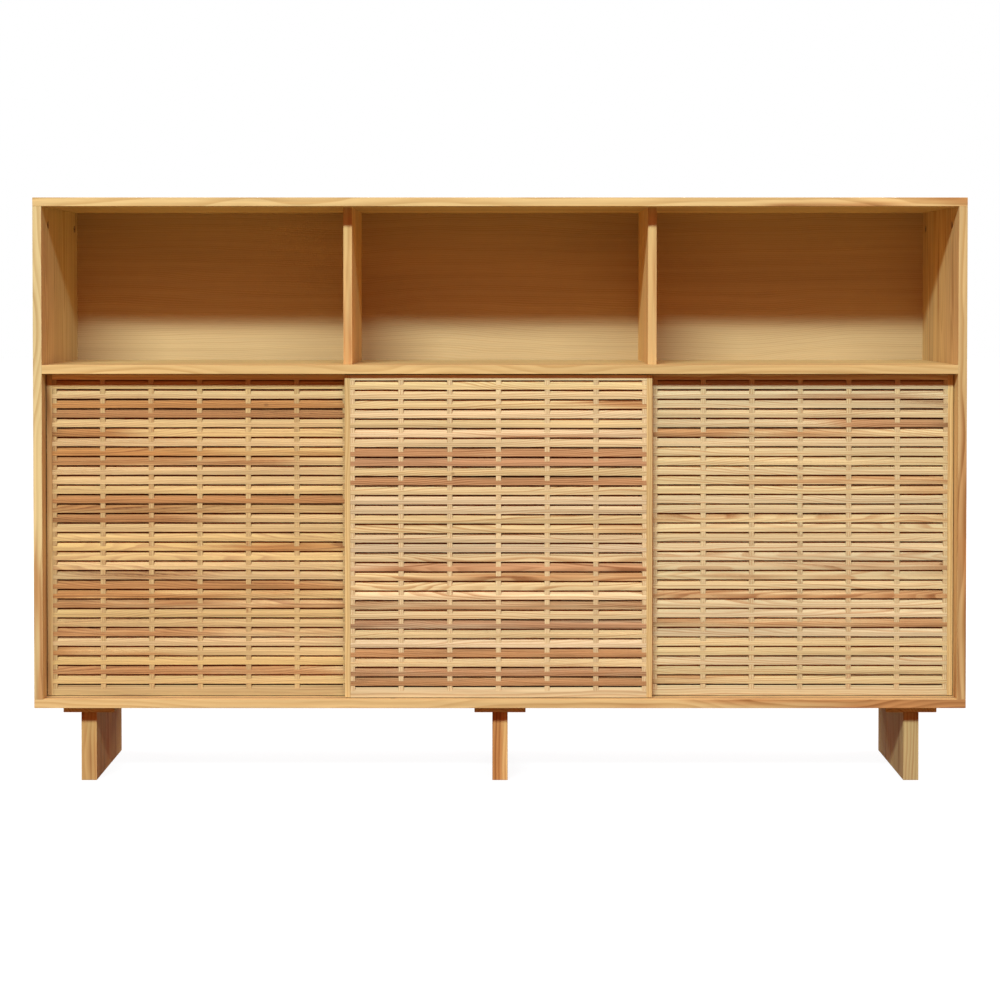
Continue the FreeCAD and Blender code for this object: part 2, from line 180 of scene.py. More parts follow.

# Each row names a CAD board, the order of its axes (along the grain, across it, through the board), the
# number of glued staves in its width, its share of heartwood, how that share grows per metre along its long
# edges, its brightness, how much greyer than the rest it is, or redder below zero, how much lighter its long
# edges are than its faces, and how much more heartwood those edges show. The growth is partly painted shade:
# it darkens the side panels towards the bottom and the top and bottom boards towards the right end, where the
# light falls off. The lighter long edges are painted light: the front edges, which face the lamps, are made
# brighter than the faces, which lie in shade inside the bays and on the legs' flanks.
CARCASS_BOARDS = (
    ("top_board", "XYZ", 3, 0.12, 0.46, 1.00, 0.06, 0.46, 0.0),
    ("bottom_board", "XYZ", 3, 0.30, 0.58, 0.98, -0.04, 0.25, 0.0),
    ("fixed_shelf", "XYZ", 3, 0.20, 0.06, 1.00, -0.02, 0.26, 0.0),
    ("left_side_panel", "ZYX", 3, 0.24, -0.80, 0.94, 0.24, 0.29, 0.02),
    ("right_side_panel", "ZYX", 3, 0.43, -0.56, 0.96, 0.0, 0.14, 0.01),
    ("left_bay_divider", "ZYX", 3, 0.24, 0.0, 1.05, -0.06, 0.14, 0.28),
    ("right_bay_divider", "ZYX", 3, 0.24, 0.0, 1.04, -0.12, 0.08, 0.12),
    ("left_partition", "ZYX", 3, 0.20, 0.0, 1.00, 0.0, 0.16, 0.0),
    ("right_partition", "ZYX", 3, 0.22, 0.0, 1.00, 0.0, 0.16, 0.0),
    ("left_inner_shelf", "XYZ", 3, 0.16, 0.0, 1.00, 0.0, 0.16, 0.0),
    ("centre_inner_shelf", "XYZ", 3, 0.24, 0.0, 1.00, 0.0, 0.16, 0.0),
    ("right_inner_shelf", "XYZ", 3, 0.18, 0.0, 1.00, 0.0, 0.16, 0.0),
)
# Painted light and shade: the legs' low brightness with lighter long edges darkens their shaded flanks below
# their fronts, and the plates' brightness of 1.10 lifts them in the shade under the bottom board.
LEG_BOARDS = (
    ("left_leg", "ZYX", 3, 0.42, 0.0, 0.86, -0.20, 0.34, 0.06),
    ("centre_leg", "ZYX", 3, 0.60, 0.0, 1.12, -0.24, 0.18, 0.0),
    ("right_leg", "ZYX", 3, 0.34, 0.0, 0.79, 0.08, 0.24, 0.0),
    ("left_leg_plate", "YXZ", 1, 0.12, 0.0, 1.10, 0.10, 0.10, 0.0),
    ("centre_leg_plate", "YXZ", 1, 0.12, 0.0, 1.10, 0.10, 0.10, 0.0),
    ("right_leg_plate", "YXZ", 1, 0.12, 0.0, 1.10, 0.10, 0.10, 0.0),
)

# Axes of each door frame piece, then its share of heartwood and its brightness in the left, the middle and
# the right door. The top rails' brightness above 1 is painted light, which lifts them in the shade under the
# fixed shelf.
FRAME_PIECES = (
    ("left_stile", "ZXY", (0.44, 0.30, 0.30), (0.83, 0.93, 0.88)),
    ("right_stile", "ZXY", (0.42, 0.30, 0.32), (0.86, 0.80, 0.92)),
    ("top_rail", "XZY", (0.0, 0.0, 0.0), (1.36, 1.20, 1.30)),
    ("bottom_rail", "XZY", (0.42, 0.04, 0.06), (0.92, 1.00, 1.00)),
)

# Slats whose share of heartwood is listed one by one, counted from the bottom of the door: that share at the
# slat's middle, and how much it grows from there to the right end.
# The growths are partly painted shade, darker towards the outer ends of the left and right doors, where the
# light falls off.
HEART_ROWS = {
    "left_door": {
        1: (0.68, -0.15), 3: (0.42, -0.35), 5: (0.55, -0.10), 8: (0.72, -0.05), 9: (0.58, -0.30),
        10: (0.80, -0.10), 11: (0.42, -0.05), 14: (0.40, 0.28), 17: (0.58, -0.55), 18: (0.60, -0.10),
        19: (0.92, -0.12), 23: (0.55, -0.20), 24: (0.64, -0.15), 25: (0.45, -0.05), 26: (0.05, -1.25),
        28: (0.95, -0.18), 29: (0.88, 0.0),
    },
    "middle_door": {
        0: (0.88, 0.10), 1: (0.74, 0.05), 2: (0.40, -0.05), 3: (0.88, 0.10), 6: (0.64, 0.0),
        8: (0.56, 0.05), 11: (0.56, 0.0), 12: (0.78, 0.05), 15: (0.46, 0.0), 16: (0.38, 0.05),
        21: (0.95, 0.0), 23: (0.90, 0.0), 24: (0.88, 0.05), 26: (0.58, -0.05), 29: (0.40, 0.22),
    },
    "right_door": {
        0: (0.40, -0.22), 6: (0.66, 0.05), 9: (0.68, 0.05), 12: (0.40, 0.22), 17: (0.44, 0.05),
        20: (0.34, 0.20), 21: (0.48, 0.20), 26: (0.56, -0.28), 27: (0.48, 0.75), 28: (0.25, 0.35),
        30: (0.38, 0.15),
    },
}


class HutchWood(bpy.types.PropertyGroup):
    """Colours and grain of the pine."""

    early: bpy.props.FloatVectorProperty(
        name="Early wood", description="Pale wood between the dark ring lines",
        subtype="COLOR", size=3, min=0.0, max=1.0, default=(0.74, 0.528, 0.228))
    late: bpy.props.FloatVectorProperty(
        name="Late wood", description="Dark line that closes each yearly ring",
        subtype="COLOR", size=3, min=0.0, max=1.0, default=(0.600, 0.386, 0.148))
    heart: bpy.props.FloatVectorProperty(
        name="Heartwood tint", description="Tint that heartwood lays over the pale wood",
        subtype="COLOR", size=3, min=0.0, max=1.0, default=(0.74, 0.52, 0.43))
    left_slats: bpy.props.FloatVectorProperty(
        name="Left slats", description="Pale wood of the left door's slats and battens",
        subtype="COLOR", size=3, min=0.0, max=1.0, default=(0.598, 0.430, 0.190))
    middle_slats: bpy.props.FloatVectorProperty(
        name="Middle slats", description="Pale wood of the middle door's slats and battens",
        subtype="COLOR", size=3, min=0.0, max=1.0, default=(0.618, 0.484, 0.263))
    right_slats: bpy.props.FloatVectorProperty(
        name="Right slats", description="Pale wood of the right door's slats and battens",
        subtype="COLOR", size=3, min=0.0, max=1.0, default=(0.582, 0.473, 0.255))
    slat_late: bpy.props.FloatVectorProperty(
        name="Slat lines", description="Dark ring lines of the door slats and battens",
        subtype="COLOR", size=3, min=0.0, max=1.0, default=(0.44, 0.270, 0.125))
    back_early: bpy.props.FloatVectorProperty(
        name="Back panel", description="Pale wood of the thin back panels",
        subtype="COLOR", size=3, min=0.0, max=1.0, default=(0.474, 0.333, 0.168))
    back_late: bpy.props.FloatVectorProperty(
        name="Back panel lines", description="Fine dark lines of the thin back panels",
        subtype="COLOR", size=3, min=0.0, max=1.0, default=(0.410, 0.272, 0.120))
    leg_late: bpy.props.FloatVectorProperty(
        name="Leg lines", description="Dark ring lines of the legs",
        subtype="COLOR", size=3, min=0.0, max=1.0, default=(0.56, 0.335, 0.130))
    dowel: bpy.props.FloatVectorProperty(
        name="Dowels", description="Wood of the turned dowels",
        subtype="COLOR", size=3, min=0.0, max=1.0, default=(0.66, 0.44, 0.27))
    ring: bpy.props.FloatProperty(
        name="Ring width", description="Width of one yearly ring", unit="LENGTH",
        min=0.001, max=0.02, default=0.0078)
    bump: bpy.props.FloatProperty(
        name="Grain depth", description="Height of the grain under the finish", unit="LENGTH",
        min=0.0, max=0.002, default=0.00022)


class HutchDoors(bpy.types.PropertyGroup):
    """Shape of the slats and battens in the sliding doors."""

    rows: bpy.props.IntProperty(
        name="Slats", description="Slats in one door", min=2, max=80, default=32)
    gap: bpy.props.FloatProperty(
        name="Slot", description="Open slot between two slats", unit="LENGTH",
        min=0.001, max=0.01, default=0.0039)
    face: bpy.props.FloatProperty(
        name="Flat face", description="Height of a slat's upright face below its bevel", unit="LENGTH",
        min=0.002, max=0.014, default=0.008)
    bevel: bpy.props.FloatProperty(
        name="Bevel depth", description="How far the upper part of a slat leans back", unit="LENGTH",
        min=0.001, max=0.009, default=0.005)
    rise: bpy.props.FloatProperty(
        name="Top rise", description="How far a slat's top rises from its bevel to its back", unit="LENGTH",
        min=0.0, max=0.004, default=0.0024)
    slat_depth: bpy.props.FloatProperty(
        name="Slat depth", description="Thickness of a slat from front to back", unit="LENGTH",
        min=0.004, max=0.02, default=0.010)
    edge: bpy.props.FloatProperty(
        name="Edge rounding", description="Radius that sanding leaves on a slat's edges", unit="LENGTH",
        min=0.0002, max=0.002, default=0.0007)
    wander: bpy.props.FloatProperty(
        name="Wander", description="How far a slat's line strays from straight", unit="LENGTH",
        min=0.0, max=0.0005, default=0.00018)
    batten: bpy.props.FloatProperty(
        name="Batten width", description="Width of the upright battens", unit="LENGTH",
        min=0.004, max=0.03, default=0.010)
    end_batten: bpy.props.FloatProperty(
        name="End batten width", description="Width of the battens beside the stiles", unit="LENGTH",
        min=0.004, max=0.03, default=0.0085)
    setback: bpy.props.FloatProperty(
        name="Tooth setback", description="How far a batten's teeth stand behind the slats' faces",
        unit="LENGTH", min=0.0, max=0.004, default=0.0006)
    columns: bpy.props.IntProperty(
        name="Columns", description="Columns of slots in one door", min=1, max=20, default=6)


class HutchFittings(bpy.types.PropertyGroup):
    """Colours of the metal and plastic fittings."""

    cam: bpy.props.FloatVectorProperty(
        name="Cams", description="Dark cast cams and bolts in the boards",
        subtype="COLOR", size=3, min=0.0, max=1.0, default=(0.060, 0.042, 0.030))
    steel: bpy.props.FloatVectorProperty(
        name="Screws", description="Plated screws",
        subtype="COLOR", size=3, min=0.0, max=1.0, default=(0.56, 0.55, 0.53))
    track: bpy.props.FloatVectorProperty(
        name="Tracks", description="Moulded door tracks and guides",
        subtype="COLOR", size=3, min=0.0, max=1.0, default=(0.40, 0.24, 0.11))
    roller: bpy.props.FloatVectorProperty(
        name="Rollers", description="Moulded door rollers",
        subtype="COLOR", size=3, min=0.0, max=1.0, default=(0.74, 0.72, 0.67))


class HutchStage(bpy.types.PropertyGroup):
    """Camera, lamps and floor."""

    camera_place: bpy.props.FloatVectorProperty(
        name="Camera", description="Place of the camera", subtype="TRANSLATION", unit="LENGTH",
        size=3, default=(0.0, -4.694, 0.947))
    camera_tilt: bpy.props.FloatProperty(
        name="Tilt", description="How far the camera looks down", subtype="ANGLE",
        default=math.radians(1.211))
    lens: bpy.props.FloatProperty(
        name="Lens", description="Focal length of the camera in millimetres", unit="CAMERA",
        min=20.0, max=200.0, default=84.02)
    sensor: bpy.props.FloatProperty(
        name="Sensor", description="Width of the camera's sensor in millimetres", unit="CAMERA",
        min=10.0, max=100.0, default=36.0)
    shift: bpy.props.FloatProperty(
        name="Shift", description="Upright shift of the camera's frame", min=-0.5, max=0.5, default=-0.155)
    key_place: bpy.props.FloatVectorProperty(
        name="Key lamp", description="Place of the strip lamp in front on the left", subtype="TRANSLATION",
        unit="LENGTH", size=3, default=(-3.46, -11.5, 8.1))
    key_power: bpy.props.FloatProperty(
        name="Key power", description="Power of the strip lamp in front on the left", unit="POWER",
        min=0.0, max=5000.0, default=2040.0)
    fill_place: bpy.props.FloatVectorProperty(
        name="Fill lamp", description="Place of the strip lamp in front on the right", subtype="TRANSLATION",
        unit="LENGTH", size=3, default=(3.46, -11.5, 8.1))
    fill_power: bpy.props.FloatProperty(
        name="Fill power", description="Power of the strip lamp in front on the right", unit="POWER",
        min=0.0, max=5000.0, default=725.0)
    strip_width: bpy.props.FloatProperty(
        name="Strip width", description="Width of the lamps in front", unit="LENGTH",
        min=0.1, max=10.0, default=5.6)
    strip_height: bpy.props.FloatProperty(
        name="Strip height", description="Height of the lamps in front", unit="LENGTH",
        min=0.1, max=4.0, default=0.8)
    front_aim: bpy.props.FloatVectorProperty(
        name="Front aim", description="Point that the lamps in front look at", subtype="TRANSLATION",
        unit="LENGTH", size=3, default=(0.0, -0.2, 0.65))
    side_place: bpy.props.FloatVectorProperty(
        name="Side lamp", description="Place of the lamp on the right, which the one on the left mirrors",
        subtype="TRANSLATION", unit="LENGTH", size=3, default=(4.5, 1.2, 2.4))
    side_aim: bpy.props.FloatVectorProperty(
        name="Side aim", description="Point that the lamp on the right looks at", subtype="TRANSLATION",
        unit="LENGTH", size=3, default=(0.9, 0.0, 0.6))
    side_size: bpy.props.FloatProperty(
        name="Side size", description="Width and height of the lamps at the sides", unit="LENGTH",
        min=0.1, max=10.0, default=2.0)
    side_power: bpy.props.FloatProperty(
        name="Side power", description="Power of each lamp at the sides", unit="POWER",
        min=0.0, max=2000.0, default=150.0)
    back_power: bpy.props.FloatProperty(
        name="Back power", description="Power of the lamp behind", unit="POWER",
        min=0.0, max=2000.0, default=250.0)
    back_place: bpy.props.FloatVectorProperty(
        name="Back lamp", description="Place of the lamp behind", subtype="TRANSLATION", unit="LENGTH",
        size=3, default=(0.0, 5.2, 3.4))
    back_aim: bpy.props.FloatVectorProperty(
        name="Back aim", description="Point that the lamp behind looks at", subtype="TRANSLATION",
        unit="LENGTH", size=3, default=(0.0, 0.2, 0.6))
    back_width: bpy.props.FloatProperty(
        name="Back width", description="Width of the lamp behind", unit="LENGTH",
        min=0.1, max=10.0, default=4.0)
    back_height: bpy.props.FloatProperty(
        name="Back height", description="Height of the lamp behind", unit="LENGTH",
        min=0.1, max=10.0, default=1.0)
    lamp_colour: bpy.props.FloatVectorProperty(
        name="Lamp colour", description="Colour of the lamps, a little cool against the red of the room",
        subtype="COLOR", size=3, min=0.0, max=1.0, default=(0.775, 0.965, 1.0))
    ambient: bpy.props.FloatVectorProperty(
        name="Ambient", description="Red light that the room adds to the object, for brown shade",
        subtype="COLOR", size=3, min=0.0, max=1.0, default=(0.570, 0.030, 0.028))
    floor_bounce: bpy.props.FloatVectorProperty(
        name="Floor bounce", description="Part of the lamps' light that the floor throws back on the object",
        subtype="COLOR", size=3, min=0.0, max=1.0, default=(0.185, 0.122, 0.048))
    floor: bpy.props.FloatVectorProperty(
        name="Floor", description="Pale floor as the lamps light it",
        subtype="COLOR", size=3, min=0.0, max=1.0, default=(0.12, 0.12, 0.12))
    floor_reach: bpy.props.FloatProperty(
        name="Floor reach", description="Distance from the middle of the floor to its sides", unit="LENGTH",
        min=5.0, max=100.0, default=30.0)
    floor_glow: bpy.props.FloatProperty(
        name="Floor glow", description="Glow of the floor at the object, where 1 is white",
        min=0.0, max=1.0, default=0.92)
    glow_near: bpy.props.FloatProperty(
        name="Glow start", description="Distance from which the floor's glow rises", unit="LENGTH",
        min=0.0, max=20.0, default=1.2)
    glow_far: bpy.props.FloatProperty(
        name="Glow end", description="Distance from which the floor is white", unit="LENGTH",
        min=0.1, max=40.0, default=4.5)


def add(tree, kind, sockets=None, **settings):
    """Adds one node; a socket given another node's output is linked, and any other value is set on it."""
    node = tree.nodes.new(kind)
    column, row = divmod(len(tree.nodes) - 1, COLUMN_NODES)
    node.location = (COLUMN_STEP * column, -NODE_STEP * row)
    for name, value in settings.items():
        setattr(node, name, value)
    for key, value in (sockets or {}).items():
        if isinstance(value, bpy.types.NodeSocket):
            tree.links.new(value, node.inputs[key])
        else:
            node.inputs[key].default_value = value
    return node


def calc(tree, operation, *values):
    """Gives the result of one Math node."""
    return add(tree, "ShaderNodeMath", dict(enumerate(values)), operation=operation).outputs[0]


def arrow(tree, operation, first, second):
    """Gives the vector result of one Vector Math node."""
    return add(tree, "ShaderNodeVectorMath", {0: first, 1: second}, operation=operation).outputs[0]


def split(tree, vector):
    """Gives the three numbers of a vector or colour."""
    return add(tree, "ShaderNodeSeparateXYZ", {0: vector}).outputs


def join(tree, first, second, third):
    """Gives a vector made of three numbers."""
    return add(tree, "ShaderNodeCombineXYZ", {0: first, 1: second, 2: third}).outputs[0]


def ramp(tree, value, low, high):
    """Gives 0 below low, 1 above high and a smooth rise between."""
    limits = {0: value, 1: low, 2: high}
    return add(tree, "ShaderNodeMapRange", limits, interpolation_type="SMOOTHSTEP").outputs[0]


def spread(tree, share, low, high):
    """Gives low at a share of 0, high at a share of 1 and an even rise between."""
    return calc(tree, "MULTIPLY_ADD", share, high - low, low)


def less(tree, value):
    """Gives what a value lacks to 1."""
    return calc(tree, "SUBTRACT", 1.0, value)


def stir(tree, cloud, weight, base):
    """Gives a base to which a cloud, counted from one half, adds its weight."""
    return calc(tree, "MULTIPLY_ADD", calc(tree, "SUBTRACT", cloud, 0.5), weight, base)


def clouds(tree, place, scale, detail, roughness=0.5):
    """Gives a Noise node on a place stretched by a scale for each axis."""
    stretched = arrow(tree, "MULTIPLY", place, scale)
    return add(tree, "ShaderNodeTexNoise",
               {"Vector": stretched, "Scale": 1.0, "Detail": detail, "Roughness": roughness})


def blend(tree, share, first, second):
    """Gives the colour between two colours at a share."""
    return add(tree, "ShaderNodeMix", {0: share, 6: first, 7: second}, data_type="RGBA").outputs[2]


def opaque(colour):
    """Gives a colour property as four numbers."""
    return (*colour, 1.0)


def pine_group():
    """Makes the node group that draws sawn pine.

    Yearly rings are cones round a pith that lies beside the board: ring number is the distance from the pith
    plus a taper along the grain plus slow wander, all divided by the ring width. Each ring darkens slowly to
    its late wood and stops short. Streaks, fibres, heartwood, pin knots and glue lines lie over the rings.
    """
    if "pine_grain" in bpy.data.node_groups:
        return bpy.data.node_groups["pine_grain"]
    tree = bpy.data.node_groups.new("pine_grain", "ShaderNodeTree")
    sockets = tree.interface
    sockets.new_socket("Grain", in_out="INPUT", socket_type="NodeSocketVector")
    for name in ("Seed", "Stave", "Ring", "Pith", "Heart", "Lean", "Slope", "Wander", "Streak", "Gold",
                 "Knots", "End", "Edge"):
        sockets.new_socket(name, in_out="INPUT", socket_type="NodeSocketFloat")
    for name in ("Early", "Late", "Tint"):
        sockets.new_socket(name, in_out="INPUT", socket_type="NodeSocketColor")
    sockets.new_socket("Color", in_out="OUTPUT", socket_type="NodeSocketColor")
    for name in ("Height", "Roughness"):
        sockets.new_socket(name, in_out="OUTPUT", socket_type="NodeSocketFloat")
    given = add(tree, "NodeGroupInput").outputs
    along, across, through = split(tree, given["Grain"])

    # Staves: the number of the stave, the place inside it and three numbers drawn for it.
    ratio = calc(tree, "ADD", calc(tree, "DIVIDE", across, given["Stave"]), 0.5)
    number = calc(tree, "FLOOR", ratio)
    inside = calc(tree, "SUBTRACT", calc(tree, "SUBTRACT", ratio, number), 0.5)
    inside = calc(tree, "MULTIPLY", inside, given["Stave"])
    drawn = add(tree, "ShaderNodeTexWhiteNoise", {"Vector": join(tree, number, given["Seed"], DRAW_LAYER)},
                noise_dimensions="3D").outputs["Color"]
    first, second, third = split(tree, drawn)
    place = arrow(tree, "ADD", given["Grain"], arrow(tree, "MULTIPLY", drawn, STAVE_SHIFT))

    # Rings round the pith.
    side = spread(tree, ramp(tree, third, *RISES["pith_side"]), -1.0, 1.0)
    depth = calc(tree, "MULTIPLY", spread(tree, second, *PITH_DEPTH), side)
    beside = calc(tree, "ADD", spread(tree, first, -PITH_SHIFT, PITH_SHIFT), given["Pith"])
    wander = clouds(tree, place, CLOUDS["wander"], detail=1.0).outputs["Color"]
    wander = arrow(tree, "SUBTRACT", wander, (0.5, 0.5, 0.5))
    offset = arrow(tree, "ADD",
                   join(tree, 0.0, calc(tree, "ADD", inside, beside), calc(tree, "ADD", through, depth)),
                   arrow(tree, "MULTIPLY", wander, join(tree, 0.0, given["Wander"], given["Wander"])))
    radius = add(tree, "ShaderNodeVectorMath", {0: offset}, operation="LENGTH").outputs["Value"]
    ripple = clouds(tree, place, CLOUDS["ripple"], detail=1.0).outputs[0]
    radius = stir(tree, ripple, RIPPLE_PUSH, radius)
    taper = calc(tree, "MULTIPLY", calc(tree, "SUBTRACT", first, 0.5), given["Slope"])
    radius = calc(tree, "MULTIPLY_ADD", taper, along, radius)
    phase = calc(tree, "DIVIDE", radius, given["Ring"])
    ring = calc(tree, "FLOOR", phase)
    part = calc(tree, "SUBTRACT", phase, ring)
    strength = add(tree, "ShaderNodeTexWhiteNoise", {"W": calc(tree, "ADD", ring, given["Seed"])},
                   noise_dimensions="1D").outputs["Value"]
    dark = calc(tree, "MULTIPLY", ramp(tree, part, *RISES["late_wood"]),
                less(tree, ramp(tree, part, *RISES["ring_end"])))
    dark = calc(tree, "MULTIPLY", dark, spread(tree, strength, *RING_DARKNESS))

    # Streaks, fibres and slow drifts of tone.
    streak = clouds(tree, place, CLOUDS["streak"], detail=2.0).outputs[0]
    fibre = clouds(tree, place, CLOUDS["fibre"], detail=2.0, roughness=0.6).outputs[0]
    drift = clouds(tree, place, CLOUDS["drift"], detail=1.0).outputs[0]
    tone = stir(tree, fibre, TONES["fibre"], calc(tree, "SUBTRACT", streak, 0.5))
    tone = calc(tree, "MULTIPLY_ADD", tone, given["Streak"], 1.0)
    tone = stir(tree, drift, TONES["drift"], tone)
    tone = stir(tree, second, TONES["stave"], tone)

    # Heartwood takes over where its share, stirred by long clouds, passes a threshold.
    reach = clouds(tree, place, CLOUDS["heart"], detail=2.0).outputs[0]
    reach = stir(tree, reach, HEART_STIR, given["Heart"])
    reach = calc(tree, "MULTIPLY_ADD", given["Lean"], along, reach)
    red = ramp(tree, reach, *RISES["heart"])
    smudge = ramp(tree, clouds(tree, place, CLOUDS["smudge"], detail=1.0).outputs[0], *RISES["smudge"])
    smudge = calc(tree, "MULTIPLY", smudge, red)
    tone = calc(tree, "MULTIPLY_ADD", smudge, TONES["smudge"], tone)
    tone = calc(tree, "MULTIPLY_ADD", calc(tree, "MULTIPLY", dark, red), TONES["red_ring"], tone)
    tone = calc(tree, "MULTIPLY_ADD", ramp(tree, reach, *RISES["deep_heart"]), TONES["deep_heart"], tone)

    # Pin knots and glue lines.
    knot = arrow(tree, "MULTIPLY", place, CLOUDS["knot"])
    knot = add(tree, "ShaderNodeTexVoronoi", {"Vector": knot, "Scale": 1.0}).outputs["Distance"]
    knot = calc(tree, "MULTIPLY", less(tree, ramp(tree, knot, *RISES["knot"])), given["Knots"])
    line = calc(tree, "SUBTRACT", calc(tree, "MULTIPLY", given["Stave"], 0.5), calc(tree, "ABSOLUTE", inside))
    line = less(tree, ramp(tree, line, *RISES["glue"]))

    # Colour: rings, heartwood and a drawn drift between golden and silvery wood, times the tone.
    colour = blend(tree, dark, given["Early"], given["Late"])
    tint = blend(tree, red, WHITE, given["Tint"])
    gold = blend(tree, third, GOLDEN, SILVERY)
    gold = blend(tree, given["Gold"], WHITE, gold)
    colour = arrow(tree, "MULTIPLY", colour, arrow(tree, "MULTIPLY", tint, gold))
    tone = calc(tree, "MULTIPLY", tone, calc(tree, "MULTIPLY_ADD", line, TONES["glue"], 1.0))
    tone = calc(tree, "MULTIPLY", tone, calc(tree, "MULTIPLY_ADD", given["End"], TONES["end"], 1.0))
    # Painted light: the Edge input lightens the faces that turn across the grain, the front edges of boards,
    # which face the lamps, and the tops and undersides of slats inside the shaded slots.
    tone = calc(tree, "MULTIPLY", tone, calc(tree, "ADD", given["Edge"], 1.0))
    colour = add(tree, "ShaderNodeVectorMath", {0: colour, "Scale": tone}, operation="SCALE").outputs[0]
    colour = blend(tree, knot, colour, KNOT_COLOUR)

    # Relief and roughness.
    height = calc(tree, "MULTIPLY_ADD", dark, RELIEF["ring"], calc(tree, "MULTIPLY", fibre, RELIEF["fibre"]))
    height = calc(tree, "MULTIPLY_ADD", line, RELIEF["glue"], height)
    rough = calc(tree, "MULTIPLY_ADD", dark, ROUGHNESS["ring"], ROUGHNESS["plain"])
    rough = calc(tree, "MULTIPLY_ADD", fibre, ROUGHNESS["fibre"], rough)
    add(tree, "NodeGroupOutput", {"Color": colour, "Height": height, "Roughness": rough})
    return tree


def new_material(name):
    """Makes an empty node material and gives it with its tree."""
    material = bpy.data.materials.new(name)
    material.use_nodes = True
    material.node_tree.nodes.clear()
    return material, material.node_tree


def close_material(tree, colour, rough, height, depth, **fixed):
    """Adds the shader, its bump and the output; fixed values go straight on the shader's own sockets."""
    bump = add(tree, "ShaderNodeBump", {"Height": height, "Strength": BUMP_STRENGTH, "Distance": depth})
    shader = add(tree, "ShaderNodeBsdfPrincipled",
                 {"Base Color": colour, "Roughness": rough, "Normal": bump.outputs[0]})
    for key, value in fixed.items():
        shader.inputs[key.replace("_", " ")].default_value = value
    add(tree, "ShaderNodeOutputMaterial", {"Surface": shader.outputs[0]})


def habits(early, late, wander, streak, gold, knots):
    """Gives the inputs of the grain that tell one cut of pine from another."""
    return {"Early": early, "Late": late, "Wander": wander, "Streak": streak, "Gold": gold, "Knots": knots}


def cuts(wood):
    """Gives the habits of each cut of pine: boards, legs, back panels, stiles, dowels, slats and rails."""
    kinds = {
        "board": habits(wood.early, wood.late, wander=0.06, streak=0.46, gold=0.2, knots=0.8),
        "leg": habits(wood.early, wood.leg_late, wander=0.03, streak=0.46, gold=0.2, knots=0.0),
        "back": habits(wood.back_early, wood.back_late, wander=0.06, streak=0.2, gold=0.0, knots=0.0),
        "stile": habits(wood.early, wood.late, wander=0.012, streak=0.5, gold=0.0, knots=0.0),
        "dowel": habits(wood.dowel, wood.late, wander=0.02, streak=0.4, gold=0.0, knots=0.0),
    }
    late = wood.slat_late
    for door, early in zip(DOORS, (wood.left_slats, wood.middle_slats, wood.right_slats)):
        kinds[door] = habits(early, late, wander=0.05, streak=0.80, gold=SLAT_GOLD[door], knots=0.8)
        kinds[f"{door}_rail"] = habits(early, late, wander=0.012, streak=0.5, gold=0.0, knots=0.0)
    return kinds


def pine(name, wood, cut, order, centre, stave=NO_STAVES, heart=0.1, seed=1.0, lean_and_falloff_shade=0.0, bright=1.0, grey=0.0,
         painted_edge_light=0.0, edge_heart_and_slot_shade=0.0, ring=1.0, pith=0.0, slope=0.016, gloss=0.04, rows=False):
    """Makes sawn pine whose grain runs along the first axis of order, with its pattern centred on a piece.

    The wood's colours are multiplied by the brightness and by a cast, which leaves red as it is and raises
    green by half of grey and blue by the whole of it. The faces that turn across the grain are made lighter
    by painted light: the front edges of boards, which face the lamps, and the tops and undersides of slats
    in the shaded slots, which are also made redder. With rows, each slat or batten brings its own seed and
    heartwood share in the mesh attributes.
    """
    material, tree = new_material(name)
    coordinates = add(tree, "ShaderNodeTexCoord")
    shifted = arrow(tree, "SUBTRACT", coordinates.outputs["Object"], centre)
    parts = dict(zip("XYZ", split(tree, shifted)))
    facing = dict(zip("XYZ", split(tree, coordinates.outputs["Normal"])))
    along, across, through = order
    end = ramp(tree, calc(tree, "ABSOLUTE", facing[along]), *FACE_TURN)
    edge = ramp(tree, calc(tree, "ABSOLUTE", facing[across]), *FACE_TURN)
    if rows:
        seed = add(tree, "ShaderNodeAttribute", attribute_name="row_seed").outputs["Fac"]
        heart = add(tree, "ShaderNodeAttribute", attribute_name="row_heart_and_falloff_shade").outputs["Fac"]
    if edge_heart_and_slot_shade:
        heart = calc(tree, "MULTIPLY_ADD", edge, edge_heart_and_slot_shade, heart)
    # Painted shade in part: this growth darkens the side panels towards the bottom and the top and bottom
    # boards towards the right end.
    if lean_and_falloff_shade:
        lean_and_falloff_shade = spread(tree, edge, LEAN_ON_FACES * lean_and_falloff_shade, lean_and_falloff_shade)
    cast = np.multiply(bright, (1.0, 1.0 + grey / 2, 1.0 + grey))
    values = dict(cuts(wood)[cut])
    values["Early"] = opaque(np.multiply(values["Early"], cast))
    values["Late"] = opaque(np.multiply(values["Late"], cast))
    values.update({
        "Grain": join(tree, parts[along], parts[across], parts[through]), "Seed": seed, "Stave": stave,
        "Ring": wood.ring * ring, "Pith": pith, "Heart": heart, "Lean": lean_and_falloff_shade, "Slope": slope, "End": end,
        "Edge": calc(tree, "MULTIPLY", edge, painted_edge_light), "Tint": opaque(wood.heart),
    })
    grain = add(tree, "ShaderNodeGroup", values, node_tree=pine_group()).outputs
    close_material(tree, grain["Color"], grain["Roughness"], grain["Height"], wood.bump,
                   Specular_IOR_Level=gloss)
    return material


